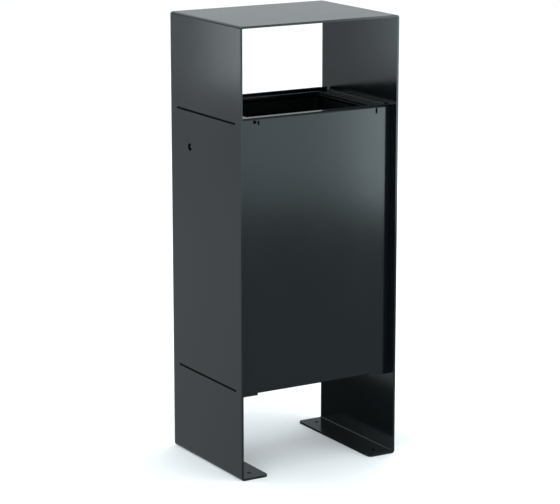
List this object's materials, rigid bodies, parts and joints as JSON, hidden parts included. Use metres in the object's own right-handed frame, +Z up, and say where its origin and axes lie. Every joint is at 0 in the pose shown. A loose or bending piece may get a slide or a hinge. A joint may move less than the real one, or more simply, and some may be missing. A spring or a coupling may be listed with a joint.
{
  "type": "ashtray bin",
  "caption": "Free-standing outdoor litter bin: bent plate frame open at the top, fixed front panel, lockable side-hung rear door, removable liner and a slotted ash tray beside the mouth.",
  "frame": {"origin": "on the floor under the middle of the outer frame", "axes": "+Z up, -Y towards the front panel, +X to the right seen from the front"},
  "size_m": [0.4, 0.31, 1],
  "materials": {
    "powder_coat": "semi-gloss anthracite black powder coat",
    "tray_coat": "gloss black powder coat",
    "liner_coat": "matt black coat",
    "zinc_steel": "zinc plated",
    "black_nickel": "black nickel plated",
    "bearing_plastic": "matt",
    "rubber": "matt"
  },
  "bodies": {
    "frame": {"outer_frame": "powder_coat", "top_shelf": "powder_coat", "bottom_shelf": "powder_coat", "front_panel": "powder_coat", "front_panel_clips": "powder_coat", "panel_studs": "zinc_steel", "panel_nuts": "zinc_steel", "rear_rail": "powder_coat", "liner": "liner_coat", "liner_guides": "powder_coat", "upper_pivot_pin": "zinc_steel", "lower_pivot_pin": "zinc_steel", "lock_bracket": "powder_coat", "lock_barrel": "black_nickel", "lock_nut": "zinc_steel", "door_buffers": "rubber", "slot_seals": "rubber"},
    "door": {"rear_door": "powder_coat", "door_stiffener": "powder_coat", "strike_pin": "zinc_steel", "upper_bush": "bearing_plastic", "lower_bush": "bearing_plastic"},
    "lock": {"lock_rotor": "black_nickel", "lock_cam": "zinc_steel", "cam_washer": "zinc_steel", "cam_screw": "zinc_steel"},
    "ash_box": {"ash_tray": "tray_coat"},
    "stub_cover": {"stub_plate": "tray_coat"}
  },
  "joints": [
    {"name": "door_swing", "type": "hinge", "parent": "frame", "child": "door", "pos_m": [0.184, 0.1265, 0.2], "axis": [0, 0, -1], "range_deg": [0, 95]},
    {"name": "lock_turn", "type": "hinge", "parent": "frame", "child": "lock", "pos_m": [-0.176, 0.07, 0.709], "axis": [1, 0, 0], "range_deg": [0, 90]},
    {"name": "ash_tray_lift", "type": "slide", "parent": "frame", "child": "ash_box", "axis": [0, 0, 1], "range_m": [0, 0.15]},
    {"name": "stub_plate_lift", "type": "slide", "parent": "ash_box", "child": "stub_cover", "axis": [0, 0, 1], "range_m": [0, 0.04]}
  ]
}
